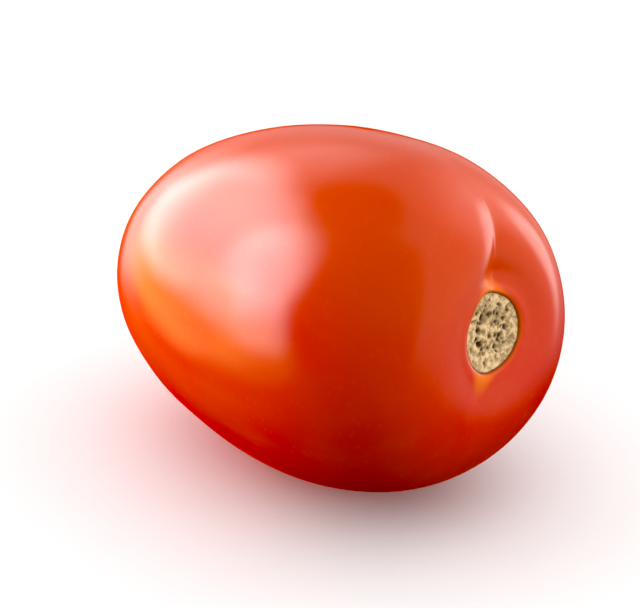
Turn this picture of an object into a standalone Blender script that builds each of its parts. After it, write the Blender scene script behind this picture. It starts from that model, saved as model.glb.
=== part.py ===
"""A ripe plum tomato as picked, lying on its side on a small flat spot.

The fruit is one solid. Its skin starts as a sphere whose poles lie on the long axis: the stem end
at +X and the blossom end at -X. A formula moves each point of it. A turned egg profile gives the
body, and relief on that profile gives the lobes, the furrows, the stem scar and the blossom tip.

On the skin a point is named by two angles. "along" runs from 0 at the stem pole to pi at the
blossom pole, and "around" runs about the long axis from 0 at the top toward +Y. "ring" is the
angle along of a ring before it is bent to the scar's outline.
"""

import bmesh
import bpy
from math import acos, atan2, cos, exp, hypot, pi, radians, sin
from mathutils import Matrix, Vector

MM = 0.001

# Body: half its length, how blunt its ends are, and how much thicker it is toward the stem
HALF_LENGTH = 35.5 * MM
BLUNTNESS = 1.7 * MM
HALF_GIRTH = 23.1 * MM
STEM_FULLNESS = 1.8 * MM

# Lobes: the section is a little taller than wide, and three-sided toward the stem
OVAL = 0.041
THREE_SIDED = 0.05

# Stem end: a broad flattening and a narrow basin in it, shifted up and a little sideways
FLATTENING = 3.0 * MM
FLATTENING_RADIUS = 12.5 * MM
BASIN = 1.5 * MM
BASIN_RADIUS = 8.0 * MM
STEM_RISE = 3.2 * MM
STEM_SHIFT = -0.4 * MM

# Furrows from the stem scar: where, how deep, and how far along the fruit they reach. The long one
# is the sum of a deep start and a faint tail. Each starts beside the scar and is soon full.
LONG_FURROW = radians(11.5)
SHORT_FURROW = radians(208)
FURROWS = ((LONG_FURROW, 1.9 * MM, 0.6), (LONG_FURROW, 0.6 * MM, 1.3), (SHORT_FURROW, 0.6 * MM, 0.6))
FURROW_START = 3.5 * MM
FURROW_FULL = 9.0 * MM
STEEP_SIDE = 2.2 * MM
GENTLE_SIDE = 3.8 * MM
FURROW_SPREAD = 0.9 * MM
FURROW_ROUNDING = 0.15

# Stem scar: a corky disc, a little pointed at the top and at the short furrow, in a lip of skin
SCAR_RING = 0.195
SCAR_BLEND = 0.5
TOP_POINT = radians(-10)
POINT_WIDTH = 0.45
LONG_POINT = 0.13
SHORT_POINT = 0.09
SCAR_SINK = 0.40 * MM
LIP_HEIGHT = 0.12 * MM
RING_GROOVE = 0.12 * MM
CENTRE_BOSS = 0.30 * MM

# Blossom end: drawn out a little, with a small tip in a shallow dimple
DRAWN_OUT = 2.5 * MM
DRAWN_OUT_RADIUS = 14.0 * MM
DIMPLE = 0.9 * MM
DIMPLE_RADIUS = 4.0 * MM
TIP_HEIGHT = 0.9 * MM
TIP_RADIUS = 1.1 * MM

# Lie of the fruit: its stem end is raised, and its underside is pressed flat where it rests
PITCH = radians(5.5)
REST_DEPTH = 0.28 * MM

# Mesh: points around, which crowd toward the long furrow, and rings, which crowd toward the poles
AROUND_COUNT = 84
RING_COUNT = 52
RING_CROWDING = 0.7
MERIDIAN_CROWDING = 0.4

SKIN_COLOUR = (0.52, 0.028, 0.004, 1.0)
SKIN_ROUGHNESS = 0.25
SKIN_METALLIC = 0.0


def clear_scene():
    """Start from an empty scene."""
    for item in list(bpy.data.objects):
        bpy.data.objects.remove(item, do_unlink=True)


def signed_turn(angle, other):
    """The shorter turn to one angle from the other."""
    return (angle - other + pi) % (2 * pi) - pi


def bump(distance, width):
    """A smooth hump: 1 at distance 0, fading out past the width."""
    return exp(-(distance / width) ** 2)


def step(value, low, high):
    """A smooth step from 0 at low to 1 at high."""
    share = min(max((value - low) / (high - low), 0.0), 1.0)
    return share * share * (3 - 2 * share)


def ring_place(share):
    """The angle along the fruit of a ring that is this share of the way from the stem pole."""
    return pi * share - RING_CROWDING * sin(2 * pi * share) / 2


def meridian_place(turn):
    """The angle around of a meridian of the mesh: meridians crowd toward the long furrow."""
    return LONG_FURROW + turn - MERIDIAN_CROWDING * sin(turn)


def follow_scar(ring, around):
    """The angle along of a ring, which near the stem pole follows the scar's pointed outline."""
    point = LONG_POINT * bump(signed_turn(around, TOP_POINT), POINT_WIDTH)
    point += SHORT_POINT * bump(signed_turn(around, SHORT_FURROW), POINT_WIDTH)
    return ring * (1 + point * bump(ring, SCAR_BLEND))


def profile(along):
    """The turned body: distance along the axis and from it, and the way out of the skin."""
    x = HALF_LENGTH * cos(along) - BLUNTNESS * cos(3 * along)
    r = HALF_GIRTH * sin(along) + STEM_FULLNESS * sin(2 * along)
    slope_x = -HALF_LENGTH * sin(along) + 3 * BLUNTNESS * sin(3 * along)
    slope_r = HALF_GIRTH * cos(along) + 2 * STEM_FULLNESS * cos(2 * along)
    length = hypot(slope_x, slope_r)
    return x, r, slope_r / length, -slope_x / length


def furrow_depth(along, around, r):
    """How deep the furrows lie below the skin here: one side rolls over steeply into each."""
    depth = 0.0
    for furrow, deepest, reach in FURROWS:
        turn = signed_turn(around, furrow)
        side = STEEP_SIDE if turn < 0 else GENTLE_SIDE
        across = r * turn / (side + FURROW_SPREAD * along)
        sharp_valley = exp(FURROW_ROUNDING - hypot(across, FURROW_ROUNDING))
        depth += deepest * sharp_valley * bump(along, reach) * step(r, FURROW_START, FURROW_FULL)
    return depth


def scar_relief(ring):
    """Height of the stem scar over the skin: a lip, then the sunk disc with a ring and a boss."""
    place = ring / SCAR_RING
    lip = LIP_HEIGHT * bump(place - 1.16, 0.14)
    sink = -SCAR_SINK * (1 - step(place, 0.88, 1.04))
    groove = -RING_GROOVE * bump(place - 0.5, 0.12)
    boss = CENTRE_BOSS * bump(place, 0.6)
    return lip + sink + groove + boss


def skin_point(ring, around):
    """The point of the skin on this ring and at this angle around, with the long axis level."""
    along = follow_scar(ring, around)
    x, r, out_x, out_r = profile(along)
    relief = scar_relief(ring) - furrow_depth(along, around, r)
    stem_end = cos(along) > 0
    if stem_end:
        x -= FLATTENING * bump(r, FLATTENING_RADIUS) + BASIN * bump(r, BASIN_RADIUS)
    else:
        x -= DRAWN_OUT * bump(r, DRAWN_OUT_RADIUS) - DIMPLE * bump(r, DIMPLE_RADIUS)
        x -= TIP_HEIGHT * bump(r, TIP_RADIUS)
    stemward = (1 + cos(along)) / 2
    lobes = OVAL * cos(2 * around) + THREE_SIDED * cos(3 * around) * stemward
    r *= 1 + lobes * sin(along)
    x += relief * out_x
    r += relief * out_r
    side = r * sin(around) + STEM_SHIFT * stemward ** 4
    height = r * cos(around) + STEM_RISE * stemward ** 4
    return Vector((x, side, height))


def cut_rest_flat(bm):
    """Presses the underside flat: what is below the cut goes, and one flat face closes it."""
    height = min(vertex.co.z for vertex in bm.verts) + REST_DEPTH
    everything = bm.verts[:] + bm.edges[:] + bm.faces[:]
    bmesh.ops.bisect_plane(
        bm, geom=everything, dist=1e-6, plane_co=(0, 0, height), plane_no=(0, 0, -1), clear_outer=True
    )
    rim = [edge for edge in bm.edges if edge.is_boundary]
    bmesh.ops.contextual_create(bm, geom=rim)


def stand_on_origin(bm):
    """Moves the fruit until the middle of its box's underside is at the origin."""
    low = Vector([min(vertex.co[axis] for vertex in bm.verts) for axis in range(3)])
    high = Vector([max(vertex.co[axis] for vertex in bm.verts) for axis in range(3)])
    middle = (low + high) / 2
    bmesh.ops.translate(bm, vec=(-middle.x, -middle.y, -low.z), verts=bm.verts)


def skin_material():
    """Waxy ripe skin."""
    material = bpy.data.materials.new("tomato_skin")
    material.use_nodes = True
    shader = material.node_tree.nodes["Principled BSDF"]
    shader.inputs["Base Color"].default_value = SKIN_COLOUR
    shader.inputs["Roughness"].default_value = SKIN_ROUGHNESS
    shader.inputs["Metallic"].default_value = SKIN_METALLIC
    return material


def make_tomato(collection):
    """The whole fruit, as one closed solid."""
    bm = bmesh.new()
    bmesh.ops.create_uvsphere(bm, u_segments=AROUND_COUNT, v_segments=RING_COUNT, radius=1.0)
    for vertex in bm.verts:
        share = acos(min(max(vertex.co.z, -1.0), 1.0)) / pi
        around = meridian_place(atan2(-vertex.co.y, vertex.co.x))
        vertex.co = skin_point(ring_place(share), around)
    bmesh.ops.rotate(bm, cent=(0, 0, 0), matrix=Matrix.Rotation(-PITCH, 3, "Y"), verts=bm.verts)
    cut_rest_flat(bm)
    stand_on_origin(bm)
    mesh = bpy.data.meshes.new("tomato")
    bm.to_mesh(mesh)
    bm.free()
    mesh.shade_smooth()
    mesh.materials.append(skin_material())
    tomato = bpy.data.objects.new("tomato", mesh)
    collection.objects.link(tomato)
    return tomato


def main():
    clear_scene()
    collection = bpy.data.collections.new("Plum tomato")
    bpy.context.scene.collection.children.link(collection)
    make_tomato(collection)


main()
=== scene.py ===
"""The looks of the plum tomato: waxy skin, corky stem scar, soft studio light and the photo's view.

The skin is the solid's own form, made again from the same dimensions in a much finer mesh, with the
small relief that only close eyes see.

On the skin a point is named by two angles. "along" runs from 0 at the stem pole to pi at the
blossom pole, and "around" runs about the long axis from 0 at the top toward +Y. "ring" is the
angle along of a ring before it is bent to the scar's outline, and "place" is the same in scar
radii.
"""

import random
from math import acos, atan2, cos, exp, hypot, pi, radians, sin

import bmesh
import bpy
from mathutils import Matrix, Vector, noise


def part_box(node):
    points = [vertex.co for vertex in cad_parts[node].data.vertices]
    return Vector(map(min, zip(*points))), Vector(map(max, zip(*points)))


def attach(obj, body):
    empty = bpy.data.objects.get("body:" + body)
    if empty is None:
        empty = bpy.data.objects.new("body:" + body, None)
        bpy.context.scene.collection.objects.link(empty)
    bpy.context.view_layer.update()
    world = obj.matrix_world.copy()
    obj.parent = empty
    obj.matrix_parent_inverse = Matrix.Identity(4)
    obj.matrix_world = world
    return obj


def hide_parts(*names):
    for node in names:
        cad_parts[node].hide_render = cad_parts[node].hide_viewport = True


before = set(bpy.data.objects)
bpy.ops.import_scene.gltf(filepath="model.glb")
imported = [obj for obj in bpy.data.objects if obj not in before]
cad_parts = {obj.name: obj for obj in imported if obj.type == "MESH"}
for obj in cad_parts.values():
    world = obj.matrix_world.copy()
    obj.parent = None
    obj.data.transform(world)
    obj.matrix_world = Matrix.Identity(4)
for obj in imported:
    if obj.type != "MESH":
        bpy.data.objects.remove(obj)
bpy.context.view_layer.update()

MM = 0.001

# Form of the fruit, as in the solid: body, lobes, stem end, furrows, scar, blossom end and lie
HALF_LENGTH = 35.5 * MM
BLUNTNESS = 1.7 * MM
HALF_GIRTH = 23.1 * MM
STEM_FULLNESS = 1.8 * MM
OVAL = 0.041
THREE_SIDED = 0.05
FLATTENING = 3.0 * MM
FLATTENING_RADIUS = 12.5 * MM
BASIN = 1.5 * MM
BASIN_RADIUS = 8.0 * MM
STEM_RISE = 3.2 * MM
STEM_SHIFT = -0.4 * MM
LONG_FURROW = radians(11.5)
SHORT_FURROW = radians(208)
FURROWS = (
    (LONG_FURROW, 1.9 * MM, 0.6),
    (LONG_FURROW, 0.6 * MM, 1.3),
    (SHORT_FURROW, 0.6 * MM, 0.6),
)
FURROW_START = 3.5 * MM
FURROW_FULL = 9.0 * MM
STEEP_SIDE = 2.2 * MM
GENTLE_SIDE = 3.8 * MM
FURROW_SPREAD = 0.9 * MM
FURROW_ROUNDING = 0.15
SCAR_RING = 0.195
SCAR_BLEND = 0.5
TOP_POINT = radians(-10)
POINT_WIDTH = 0.45
LONG_POINT = 0.13
SHORT_POINT = 0.09
SCAR_SINK = 0.40 * MM
LIP_HEIGHT = 0.12 * MM
RING_GROOVE = 0.12 * MM
CENTRE_BOSS = 0.30 * MM
DRAWN_OUT = 2.5 * MM
DRAWN_OUT_RADIUS = 14.0 * MM
DIMPLE = 0.9 * MM
DIMPLE_RADIUS = 4.0 * MM
TIP_HEIGHT = 0.9 * MM
TIP_RADIUS = 1.1 * MM
PITCH = radians(5.5)
REST_DEPTH = 0.28 * MM

# Relief of the scar, in scar radii: the lip, the disc's edge, the ring groove and the boss
LIP_PLACE = 1.14
LIP_WIDTH = 0.14
DISC_EDGE = (0.90, 1.02)
GROOVE_PLACE = 0.5
GROOVE_WIDTH = 0.12
BOSS_WIDTH = 0.6

# Waves of the skin: how high and long they are, where they fade in from the stem pole, and their
# fractal dimension, lacunarity and octaves
WAVE_HEIGHT = 0.22 * MM
WAVE_LENGTH = 16 * MM
WAVE_START = (0.2, 0.5)
WAVE_FRACTAL = (1.0, 2.0, 2)

# Cork: how far out its relief goes, its grain, the noise that makes its pits uneven and the three
# spots where that noise is read, the gap at its rim, and what makes its pits and cracks dark. The
# dark of pits, cracks and gap is partly their own brown, partly painted shade in these hollows
SCAR_RADIUS = 5.2 * MM
CORK_REACH = 1.15
CORK_EDGE = (0.93, 1.0)
CORK_GRAIN_HEIGHT = 0.16 * MM
CORK_GRAIN_LENGTH = 0.7 * MM
CORK_GRAIN_FRACTAL = (0.7, 2.2, 4)
CORK_WARP = 0.05
CORK_WARP_SCALE = 6
CORK_WARP_SPOTS = (Vector((9.3, -1.5, -7.4)), Vector((2.7, 4.1, 0.6)), Vector((-6.3, 2.9, 5.5)))
RIM_GAP_DEPTH = 0.30 * MM
RIM_GAP_PLACE = 0.985
RIM_GAP_WIDTH = 0.028
DARK_PIT_DEPTH = 0.32 * MM
CRACK_DARKNESS = 0.35
CRACK_GRAIN = (0.1, 0.6)

# Pits: a ring of large ones where the stem's strands entered, and loose small ones. Their places
# and their own radii are in scar radii.
PIT_SEED = 7
PIT_RING = 0.48
PIT_RING_COUNT = 15
PIT_RING_SWAY = (0.85, 1.18)
PIT_RING_TURN = 0.25
RING_PIT_RADIUS = (0.045, 0.085)
RING_PIT_DEPTH = (0.40 * MM, 0.75 * MM)
LOOSE_PIT_COUNT = 60
LOOSE_PIT_REACH = 0.9
LOOSE_PIT_CROWDING = 0.6
LOOSE_PIT_RADIUS = (0.025, 0.055)
LOOSE_PIT_DEPTH = (0.15 * MM, 0.45 * MM)

# Orange skin round the scar: it reaches farthest, and is strongest, at the scar's two points
HALO_TOP = LONG_FURROW - 0.15
HALO_TOP_WIDTH = 0.35
HALO_BOTTOM_WIDTH = 0.28
HALO_REACH = 0.09
HALO_POINT_REACH = 0.45
HALO_SIDE_STRENGTH = 0.6

# Dry blossom tip: how far out it is brown
TIP_BROWN_RADIUS = 1.3 * TIP_RADIUS

# Mesh: points around, which crowd toward the long furrow, and rings, which crowd toward the poles
AROUND_COUNT = 380
RING_COUNT = 258
RING_CROWDING = 0.8
MERIDIAN_CROWDING = 0.4

# Colours of the skin and the cork
RED = (0.60, 0.004, 0.0005, 1)
ORANGE_RED = (0.62, 0.054, 0.002, 1)
PALE_STREAK = (0.68, 0.065, 0.004, 1)
SPECK = (0.72, 0.16, 0.02, 1)
HALO_ORANGE = (0.85, 0.20, 0.03, 1)
# Brown of the scar's rim gap, partly painted shade in that crevice
GAP_BROWN_AND_SHADE = (0.16, 0.03, 0.005, 1)
TIP_BROWN = (0.16, 0.07, 0.025, 1)
# Cork lighter on its fine bumps and darker in their hollows: its mottle, partly painted light and
# shade
CORK_LIGHT = (0.82, 0.58, 0.31, 1)
CORK_SHADE = (0.40, 0.26, 0.115, 1)
# Cork's pits, cracks and rim gap: partly their own dark brown, partly painted shade
CORK_DARK = (0.075, 0.045, 0.012, 1)

# Fades of the materials, each from the low and high of what it follows to two results: the orange
# by patch, by place along the fruit and by height, then streaks, specks, the halo, gloss and grain
PATCH_FADE = (0.3, 0.7, -0.25, 0.25)
ORANGE_FADES = (
    ("X", 8 * MM, 30 * MM, 0.0, 0.45),
    # Painted light: more orange toward the blossom end, where the left light falls strongest
    ("X", -28 * MM, -8 * MM, 0.5, 0.0),
    # Painted light and shade: more orange toward the top, deeper red toward the floor
    ("Z", 12 * MM, 50 * MM, 0.0, 1.0),
)
STREAK_FADE = (0.45, 0.8, 0.0, 0.20)
SPECK_FADE = (0.08, 0.26, 0.07, 0.0)
HALO_FADE = (0.15, 1.0, 0.0, 0.85)
GLOSS_BY_SLANT = (0.48, 0.90, 0.5, 0.0)
GLOSS_BY_HALO = (0.15, 0.8, 1.0, 0.2)
CORK_GRAIN_FADE = (0.38, 0.60, 0.0, 1.0)

# Noise of the materials: scale per metre and detail, with the streaks stretched along the fruit
PATCH_NOISE = (45, 2)
STREAK_NOISE = (260, 3, (0.12, 1, 1))
SKIN_GRAIN_NOISE = (1400, 2)
CORK_GRAIN_NOISE = (1300, 5)
SPECK_SCALE = 700

# Surfaces: the strength and height of their finest bumps, and the shader's own numbers
SKIN_BUMP = (0.12, 0.02 * MM)
CORK_BUMP = (0.5, 0.08 * MM)
SKIN_SURFACE = {
    "Roughness": 0.14,
    "IOR": 1.40,
    "Subsurface Weight": 0.25,
    "Subsurface Radius": (1.0, 0.25, 0.08),
    "Subsurface Scale": 2.5 * MM,
}
CORK_SURFACE = {"Roughness": 0.85}
FLOOR_SURFACE = {"Base Color": (0.90, 0.90, 0.90, 1), "Roughness": 0.6}
FLOOR_SIZE = 8

# View: where the camera stands round the fruit, in degrees, as in the photo
CAMERA_AZIMUTH = 44.5
CAMERA_ELEVATION = 26
CAMERA_DISTANCE = 0.568
SENSOR_WIDTH = 36.0
IMAGE_WIDTH = 640
PIXELS_PER_MM = 7.4
AIM = Vector((0.0, 0.0, 0.022))

# Contrast: what is darker than this prints black
BLACK_LEVEL = 0.014

# Soft boxes that light the fruit: azimuth, elevation and radiance
LIGHT_SIZE = 0.6
LIGHT_DISTANCE = 1.0
LIGHTS = {"left_light": (-70, -8, 14.5), "right_light": (120, 0, 4.0)}

# Light from all round: it grows from straight below to straight above
SKY_FADE = (-1.0, 1.0, 0.04, 1.30)

# What the gloss shows of the room: it is dark in front, above at the left and below. Each part has
# a direction, the cosines to it between which the room fades, and how bright it is at each.
ROOM = (
    (10, 8, 0.38, 0.72, 0.95, 0.0),
    (-50, 60, 0.85, 0.97, 1.0, 0.0),
    (160, 70, -0.32, 0.08, 0.0, 1.0),
)

# Windows that the gloss shows: azimuth, elevation, half width, half height, softness and radiance.
# The opposite side of the room counts as this many half widths outside a window.
OPPOSITE_SIDE = 100.0
WINDOWS = (
    (-72, 16, 32, 22.5, 0.25, 6.0),
    (-58, 25, 16, 12, 0.7, 2.6),
    (-48.5, 17, 10, 15, 0.5, 6.5),
    (-43, 0, 9.5, 11, 0.5, 4.4),
    (-99, -3, 16, 17, 0.5, 2.6),
    (-107, 33, 16, 12, 0.6, 1.1),
    (167, 1, 16, 21, 0.4, 2.7),
    (160, 34, 26, 34, 0.6, 1.6),
)

# Warm glows that the gloss shows below the windows, with the same numbers
WARM_GLOWS = (
    (-62, -10, 27, 15, 0.45, 5.0),
    (-76, -28, 28, 17, 0.6, 0.8),
)
WARM_GLOW_COLOUR = (1.0, 0.6, 0.12, 1)
WHITE = (1, 1, 1, 1)


def signed_turn(angle, other):
    """The shorter turn to one angle from the other."""
    return (angle - other + pi) % (2 * pi) - pi


def bump(distance, width):
    """A smooth hump: 1 at distance 0, fading out past the width."""
    return exp(-(distance / width) ** 2)


def step(value, low, high):
    """A smooth step from 0 at low to 1 at high."""
    share = min(max((value - low) / (high - low), 0.0), 1.0)
    return share * share * (3 - 2 * share)


def on_disc(place, around):
    """The spot of the scar's disc at this place from its middle and this angle around."""
    return Vector((place * cos(around), place * sin(around), 0))


def ring_place(share):
    """The angle along the fruit of a ring that is this share of the way from the stem pole."""
    return pi * share - RING_CROWDING * sin(2 * pi * share) / 2


def meridian_place(turn):
    """The angle around of a meridian of the mesh: meridians crowd toward the long furrow."""
    return LONG_FURROW + turn - MERIDIAN_CROWDING * sin(turn)


def follow_scar(ring, around):
    """The angle along of a ring, which near the stem pole follows the scar's pointed outline."""
    point = LONG_POINT * bump(signed_turn(around, TOP_POINT), POINT_WIDTH)
    point += SHORT_POINT * bump(signed_turn(around, SHORT_FURROW), POINT_WIDTH)
    return ring * (1 + point * bump(ring, SCAR_BLEND))


def profile(along):
    """The turned body: distance along the axis and from it, and the way out of the skin."""
    x = HALF_LENGTH * cos(along) - BLUNTNESS * cos(3 * along)
    r = HALF_GIRTH * sin(along) + STEM_FULLNESS * sin(2 * along)
    slope_x = -HALF_LENGTH * sin(along) + 3 * BLUNTNESS * sin(3 * along)
    slope_r = HALF_GIRTH * cos(along) + 2 * STEM_FULLNESS * cos(2 * along)
    length = hypot(slope_x, slope_r)
    return x, r, slope_r / length, -slope_x / length


def furrow_depth(along, around, r):
    """How deep the furrows lie below the skin here: one side rolls over steeply into each."""
    depth = 0.0
    for furrow, deepest, reach in FURROWS:
        turn = signed_turn(around, furrow)
        side = STEEP_SIDE if turn < 0 else GENTLE_SIDE
        across = r * turn / (side + FURROW_SPREAD * along)
        sharp_valley = exp(FURROW_ROUNDING - hypot(across, FURROW_ROUNDING))
        depth += deepest * sharp_valley * bump(along, reach) * step(r, FURROW_START, FURROW_FULL)
    return depth


def scar_relief(place):
    """Height of the stem scar over the skin: a lip, then the sunk disc with a ring and a boss."""
    lip = LIP_HEIGHT * bump(place - LIP_PLACE, LIP_WIDTH)
    sink = -SCAR_SINK * (1 - step(place, *DISC_EDGE))
    groove = -RING_GROOVE * bump(place - GROOVE_PLACE, GROOVE_WIDTH)
    boss = CENTRE_BOSS * bump(place, BOSS_WIDTH)
    return lip + sink + groove + boss


def scatter_pits():
    """The cork's pits, each a spot on the disc, a radius and a depth."""
    draw = random.Random(PIT_SEED)
    pits = []
    for index in range(PIT_RING_COUNT):
        angle = 2 * pi * (index + draw.uniform(-PIT_RING_TURN, PIT_RING_TURN)) / PIT_RING_COUNT
        spot = on_disc(PIT_RING * draw.uniform(*PIT_RING_SWAY), angle)
        pits.append((spot, draw.uniform(*RING_PIT_RADIUS), draw.uniform(*RING_PIT_DEPTH)))
    for _ in range(LOOSE_PIT_COUNT):
        angle = draw.uniform(0, 2 * pi)
        spot = on_disc(LOOSE_PIT_REACH * draw.random() ** LOOSE_PIT_CROWDING, angle)
        pits.append((spot, draw.uniform(*LOOSE_PIT_RADIUS), draw.uniform(*LOOSE_PIT_DEPTH)))
    return pits


PITS = scatter_pits()


def cork_relief(place, around):
    """The cork's own small relief, and how dark its pits, cracks and rim gap are, from 0 to 1:
    partly their own darker colour, partly painted shade in these low places.
    """
    spot = on_disc(place, around)
    warp = [noise.noise(spot * CORK_WARP_SCALE + other) for other in CORK_WARP_SPOTS]
    warped = spot + CORK_WARP * Vector(warp)
    pit_depth = 0.0
    for centre, radius, depth in PITS:
        pit_depth = max(pit_depth, depth * bump((warped - centre).length, radius))
    grain = noise.fractal(spot * (SCAR_RADIUS / CORK_GRAIN_LENGTH), *CORK_GRAIN_FRACTAL)
    gap = bump(place - RIM_GAP_PLACE, RIM_GAP_WIDTH)
    inside = 1 - step(place, *CORK_EDGE)
    height = inside * (CORK_GRAIN_HEIGHT * grain - pit_depth) - RIM_GAP_DEPTH * gap
    # Partly painted shade: deeper pits, the grain's low places and the rim gap are darker
    pit_dark = inside * pit_depth / DARK_PIT_DEPTH
    crack_dark = inside * CRACK_DARKNESS * step(-grain, *CRACK_GRAIN)
    return height, min(1.0, max(pit_dark, crack_dark, gap))


def halo_mark(place, around):
    """How orange the skin is next to the scar, from 0 to 1."""
    near_point = bump(signed_turn(around, HALO_TOP), HALO_TOP_WIDTH)
    near_point += bump(signed_turn(around, SHORT_FURROW), HALO_BOTTOM_WIDTH)
    strength = HALO_SIDE_STRENGTH + (1 - HALO_SIDE_STRENGTH) * near_point
    return strength * bump(max(place - 1, 0), HALO_REACH + HALO_POINT_REACH * near_point)


def waves(around, along):
    """Slow waves of the skin, as on any grown thing."""
    x = HALF_LENGTH * cos(along)
    y = HALF_GIRTH * sin(along) * sin(around)
    z = HALF_GIRTH * sin(along) * cos(around)
    wave = noise.fractal(Vector((x, y, z)) / WAVE_LENGTH, *WAVE_FRACTAL)
    return WAVE_HEIGHT * wave * step(along, *WAVE_START)


def skin_point(ring, around):
    """The point of the skin on this ring and at this angle around, with the long axis level, and
    its marks: dark cork and rim gap, which is partly painted shade, orange next to the scar, and
    the blossom tip."""
    along = follow_scar(ring, around)
    place = ring / SCAR_RING
    x, r, out_x, out_r = profile(along)
    relief = scar_relief(place) - furrow_depth(along, around, r) + waves(around, along)
    dark = 0.0
    if place < CORK_REACH:
        cork_height, dark = cork_relief(place, around)
        relief += cork_height
    tip = 0.0
    stem_end = cos(along) > 0
    if stem_end:
        x -= FLATTENING * bump(r, FLATTENING_RADIUS) + BASIN * bump(r, BASIN_RADIUS)
    else:
        x -= DRAWN_OUT * bump(r, DRAWN_OUT_RADIUS) - DIMPLE * bump(r, DIMPLE_RADIUS)
        x -= TIP_HEIGHT * bump(r, TIP_RADIUS)
        tip = bump(r, TIP_BROWN_RADIUS)
    stemward = (1 + cos(along)) / 2
    lobes = OVAL * cos(2 * around) + THREE_SIDED * cos(3 * around) * stemward
    r *= 1 + lobes * sin(along)
    x += relief * out_x
    r += relief * out_r
    side = r * sin(around) + STEM_SHIFT * stemward ** 4
    height = r * cos(around) + STEM_RISE * stemward ** 4
    marks = {"dark": dark, "halo": halo_mark(place, around), "tip": tip}
    return Vector((x, side, height)), marks


def feed(tree, node, sources):
    """Gives a node's inputs, by name or number, their sources: links or plain values."""
    for key, source in sources.items():
        if isinstance(source, bpy.types.NodeSocket):
            tree.links.new(source, node.inputs[key])
        else:
            node.inputs[key].default_value = source
    return node


def add_node(tree, kind, sources, **settings):
    """Adds a node with these sources and settings."""
    node = tree.nodes.new(kind)
    for name, value in settings.items():
        setattr(node, name, value)
    return feed(tree, node, sources)


def noise_value(tree, coordinates, scale, detail, stretch=(1, 1, 1)):
    """The value of a noise texture in the fruit's own coordinates, stretched along its axes."""
    mapping = add_node(tree, "ShaderNodeMapping", {"Vector": coordinates, "Scale": stretch})
    sources = {"Vector": mapping.outputs["Vector"], "Scale": scale, "Detail": detail}
    return add_node(tree, "ShaderNodeTexNoise", sources).outputs["Fac"]


def ramp(tree, value, low, high, to_low, to_high):
    """Maps a value from one range to another, smoothly and clamped."""
    sources = {"Value": value, "From Min": low, "From Max": high, "To Min": to_low, "To Max": to_high}
    node = add_node(tree, "ShaderNodeMapRange", sources, interpolation_type="SMOOTHSTEP")
    return node.outputs["Result"]


def mix(tree, share, first, second):
    """Mixes two colours."""
    sources = {"Factor": share, 6: first, 7: second}
    return add_node(tree, "ShaderNodeMix", sources, data_type="RGBA").outputs[2]


def choose(tree, switch, off, on):
    """The one value where the switch is 0, and the other where it is 1."""
    return add_node(tree, "ShaderNodeMix", {0: switch, 2: off, 3: on}).outputs[0]


def calculate(tree, operation, first, second):
    """One step of arithmetic on two values."""
    return add_node(tree, "ShaderNodeMath", {0: first, 1: second}, operation=operation).outputs[0]


def mark(tree, name):
    """One of the marks that the mesh carries at its points."""
    return add_node(tree, "ShaderNodeAttribute", {}, attribute_name=name).outputs["Fac"]


def bump_normal(tree, height, strength, distance):
    """The shader's normal over a fine relief."""
    sources = {"Height": height, "Strength": strength, "Distance": distance}
    return add_node(tree, "ShaderNodeBump", sources).outputs["Normal"]


def blank_material(name):
    """A material with its node tree and shader."""
    material = bpy.data.materials.new(name)
    material.use_nodes = True
    return material, material.node_tree, material.node_tree.nodes["Principled BSDF"]


def skin_material():
    """Ripe skin: deep orange-red with a waxy gloss, paler specks, and orange round the scar."""
    material, tree, shader = blank_material("skin")
    coordinates = tree.nodes.new("ShaderNodeTexCoord").outputs["Object"]
    spot = add_node(tree, "ShaderNodeSeparateXYZ", {0: coordinates})
    orange = ramp(tree, noise_value(tree, coordinates, *PATCH_NOISE), *PATCH_FADE)
    # The orange by place along the fruit and by height is partly painted light and shade
    for axis, *fade in ORANGE_FADES:
        orange = calculate(tree, "ADD", orange, ramp(tree, spot.outputs[axis], *fade))
    colour = mix(tree, orange, RED, ORANGE_RED)
    streaks = noise_value(tree, coordinates, *STREAK_NOISE)
    colour = mix(tree, ramp(tree, streaks, *STREAK_FADE), colour, PALE_STREAK)
    specks = add_node(tree, "ShaderNodeTexVoronoi", {"Vector": coordinates, "Scale": SPECK_SCALE})
    colour = mix(tree, ramp(tree, specks.outputs["Distance"], *SPECK_FADE), colour, SPECK)
    halo = mark(tree, "halo")
    colour = mix(tree, ramp(tree, halo, *HALO_FADE), colour, HALO_ORANGE)
    # Painted shade, with brown, in the rim gap at the scar's edge
    colour = mix(tree, mark(tree, "dark"), colour, GAP_BROWN_AND_SHADE)
    colour = mix(tree, mark(tree, "tip"), colour, TIP_BROWN)
    slant = tree.nodes.new("ShaderNodeLayerWeight").outputs["Facing"]
    gloss = ramp(tree, slant, *GLOSS_BY_SLANT)
    gloss = calculate(tree, "MULTIPLY", gloss, ramp(tree, halo, *GLOSS_BY_HALO))
    normal = bump_normal(tree, noise_value(tree, coordinates, *SKIN_GRAIN_NOISE), *SKIN_BUMP)
    feed(tree, shader, SKIN_SURFACE)
    feed(tree, shader, {"Base Color": colour, "Specular IOR Level": gloss, "Normal": normal})
    return material


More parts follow.
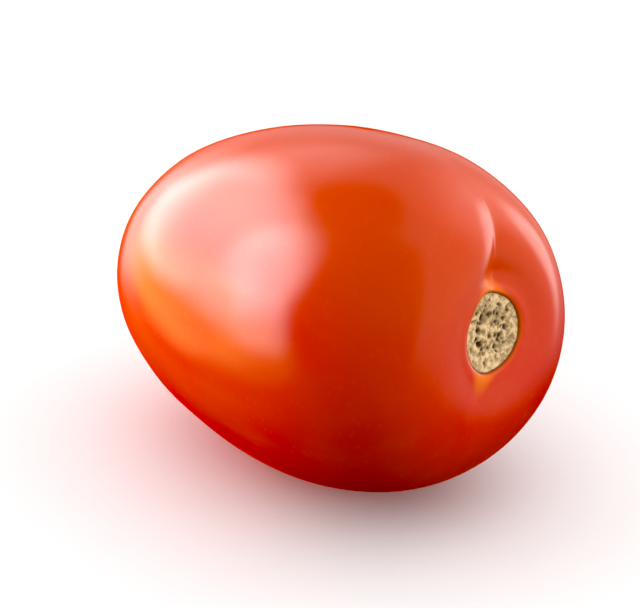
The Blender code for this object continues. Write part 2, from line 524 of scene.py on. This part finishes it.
def cork_material():
    """Dry tan cork, darker in its pits and cracks, partly by painted shade."""
    material, tree, shader = blank_material("cork")
    coordinates = tree.nodes.new("ShaderNodeTexCoord").outputs["Object"]
    grain = noise_value(tree, coordinates, *CORK_GRAIN_NOISE)
    # Painted light and shade over the cork's own mottle: the grain that raises its bumps lightens
    # them and darkens their hollows
    colour = mix(tree, ramp(tree, grain, *CORK_GRAIN_FADE), CORK_SHADE, CORK_LIGHT)
    # Painted shade over their own darker brown in the pits, cracks and rim gap
    colour = mix(tree, mark(tree, "dark"), colour, CORK_DARK)
    feed(tree, shader, CORK_SURFACE)
    feed(tree, shader, {"Base Color": colour, "Normal": bump_normal(tree, grain, *CORK_BUMP)})
    return material


def box_of(bm):
    """The lowest and highest corners of a mesh."""
    axes = [[vertex.co[axis] for vertex in bm.verts] for axis in range(3)]
    return Vector([min(values) for values in axes]), Vector([max(values) for values in axes])


def lay_down(bm):
    """Lays the fruit on its flat spot, in the box of the solid that it stands for."""
    bmesh.ops.rotate(bm, cent=(0, 0, 0), matrix=Matrix.Rotation(-PITCH, 3, "Y"), verts=bm.verts)
    floor = min(vertex.co.z for vertex in bm.verts) + REST_DEPTH
    for vertex in bm.verts:
        vertex.co.z = max(vertex.co.z, floor)
    low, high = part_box("tomato")
    own_low, own_high = box_of(bm)
    move = (Vector(low) + Vector(high) - own_low - own_high) / 2
    move.z = low[2] - own_low.z
    bmesh.ops.translate(bm, vec=move, verts=bm.verts)


def make_fruit():
    """The fine skin with its marks, cork on the scar's disc, and skin on the rest."""
    bm = bmesh.new()
    bmesh.ops.create_uvsphere(bm, u_segments=AROUND_COUNT, v_segments=RING_COUNT, radius=1.0)
    all_marks = []
    places = []
    for vertex in bm.verts:
        ring = ring_place(acos(min(max(vertex.co.z, -1.0), 1.0)) / pi)
        vertex.co, marks = skin_point(ring, meridian_place(atan2(-vertex.co.y, vertex.co.x)))
        all_marks.append(marks)
        places.append(ring / SCAR_RING)
    bm.verts.index_update()
    for face in bm.faces:
        face.smooth = True
        if max(places[vertex.index] for vertex in face.verts) < 1.0:
            face.material_index = 1
    lay_down(bm)
    mesh = bpy.data.meshes.new("tomato_skin")
    bm.to_mesh(mesh)
    bm.free()
    for name in ("dark", "halo", "tip"):
        values = mesh.attributes.new(name, "FLOAT", "POINT")
        values.data.foreach_set("value", [marks[name] for marks in all_marks])
    mesh.materials.append(skin_material())
    mesh.materials.append(cork_material())
    fruit = bpy.data.objects.new("tomato_skin", mesh)
    bpy.context.scene.collection.objects.link(fruit)
    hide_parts("tomato")
    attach(fruit, "root")


def direction(azimuth, elevation):
    """The way to a place round the fruit: azimuth 0 is toward -Y and 90 toward +X, in degrees."""
    a, e = radians(azimuth), radians(elevation)
    return Vector((sin(a) * cos(e), -cos(a) * cos(e), sin(e)))


def place_facing(item, way, distance):
    """Puts a camera or a light this far away from the aim, facing it."""
    item.location = AIM + way * distance
    item.rotation_mode = "QUATERNION"
    item.rotation_quaternion = way.to_track_quat("Z", "Y")
    bpy.context.scene.collection.objects.link(item)


def make_light(name, azimuth, elevation, radiance):
    """A soft box that doesn't show in the gloss."""
    data = bpy.data.lights.new(name, "AREA")
    data.size = LIGHT_SIZE
    data.energy = radiance * pi * LIGHT_SIZE * LIGHT_SIZE
    light = bpy.data.objects.new(name, data)
    light.visible_glossy = False
    place_facing(light, direction(azimuth, elevation), LIGHT_DISTANCE)


def make_floor():
    """A plain pale floor, which shows only to the camera and catches the fruit's shadow."""
    bpy.ops.mesh.primitive_plane_add(size=FLOOR_SIZE, location=(0, 0, 0))
    floor = bpy.context.object
    floor.name = "floor"
    material, tree, shader = blank_material("floor")
    feed(tree, shader, FLOOR_SURFACE)
    floor.data.materials.append(material)
    floor.visible_glossy = False
    floor.visible_diffuse = False
    floor.visible_shadow = False


def toward(tree, way, azimuth, elevation):
    """The cosine between the way that light comes from and a direction."""
    sources = {0: way, 1: direction(azimuth, elevation)}
    return add_node(tree, "ShaderNodeVectorMath", sources, operation="DOT_PRODUCT").outputs["Value"]


def window(tree, way, azimuth, elevation, half_width, half_height, soft, radiance):
    """An oval window in the surroundings, as far to each side and up and down as the half angles
    say, with a soft edge. It shows on its own side of the room only."""
    across = toward(tree, way, azimuth + 90, 0)
    rise = toward(tree, way, azimuth, elevation + 90)
    behind = calculate(tree, "MINIMUM", toward(tree, way, azimuth, elevation), 0.0)
    across = calculate(tree, "DIVIDE", across, sin(radians(half_width)))
    rise = calculate(tree, "DIVIDE", rise, sin(radians(half_height)))
    behind = calculate(tree, "MULTIPLY", behind, OPPOSITE_SIDE)
    spot = add_node(tree, "ShaderNodeCombineXYZ", {0: across, 1: rise, 2: behind}).outputs[0]
    reach = add_node(tree, "ShaderNodeVectorMath", {0: spot}, operation="LENGTH").outputs["Value"]
    return ramp(tree, reach, 1 - soft, 1 + soft, radiance, 0.0)


def make_world():
    """The surroundings. They light the fruit softly from above, the gloss shows a room with windows
    and warm glows instead, and the camera sees plain white."""
    world = bpy.data.worlds.new("studio")
    bpy.context.scene.world = world
    world.use_nodes = True
    world.cycles.sampling_method = "NONE"
    tree = world.node_tree
    way = tree.nodes.new("ShaderNodeTexCoord").outputs["Generated"]
    path = tree.nodes.new("ShaderNodeLightPath")
    mirrored = path.outputs["Is Glossy Ray"]
    room, *dark_parts = [ramp(tree, toward(tree, way, *part[:2]), *part[2:]) for part in ROOM]
    for dark_part in dark_parts:
        room = calculate(tree, "MULTIPLY", room, dark_part)
    for placed in WINDOWS:
        room = calculate(tree, "ADD", room, window(tree, way, *placed))
    light = ramp(tree, toward(tree, way, 0, 90), *SKY_FADE)
    strength = choose(tree, mirrored, light, room)
    strength = choose(tree, path.outputs["Is Camera Ray"], strength, 1.0)
    white = feed(tree, tree.nodes["Background"], {"Color": WHITE, "Strength": strength})
    near_glow, low_glow = [window(tree, way, *placed) for placed in WARM_GLOWS]
    glow = calculate(tree, "MULTIPLY", calculate(tree, "ADD", near_glow, low_glow), mirrored)
    warm = add_node(tree, "ShaderNodeBackground", {"Color": WARM_GLOW_COLOUR, "Strength": glow})
    both = add_node(tree, "ShaderNodeAddShader", {0: white.outputs[0], 1: warm.outputs[0]})
    feed(tree, tree.nodes["World Output"], {"Surface": both.outputs[0]})


def make_camera():
    """The photo's viewing angle, through a long lens."""
    data = bpy.data.cameras.new("camera")
    pixels_per_metre = PIXELS_PER_MM / MM
    data.sensor_width = SENSOR_WIDTH
    data.lens = SENSOR_WIDTH * CAMERA_DISTANCE * pixels_per_metre / IMAGE_WIDTH
    camera = bpy.data.objects.new("camera", data)
    place_facing(camera, direction(CAMERA_AZIMUTH, CAMERA_ELEVATION), CAMERA_DISTANCE)
    bpy.context.scene.camera = camera


def set_contrast():
    """Plain colours, with the darkest printed black."""
    view = bpy.context.scene.view_settings
    view.view_transform = "Standard"
    view.use_curve_mapping = True
    view.curve_mapping.black_level = (BLACK_LEVEL, BLACK_LEVEL, BLACK_LEVEL)
    view.curve_mapping.update()


set_contrast()
make_camera()
make_fruit()
make_floor()
make_world()
for name, placed in LIGHTS.items():
    make_light(name, *placed)
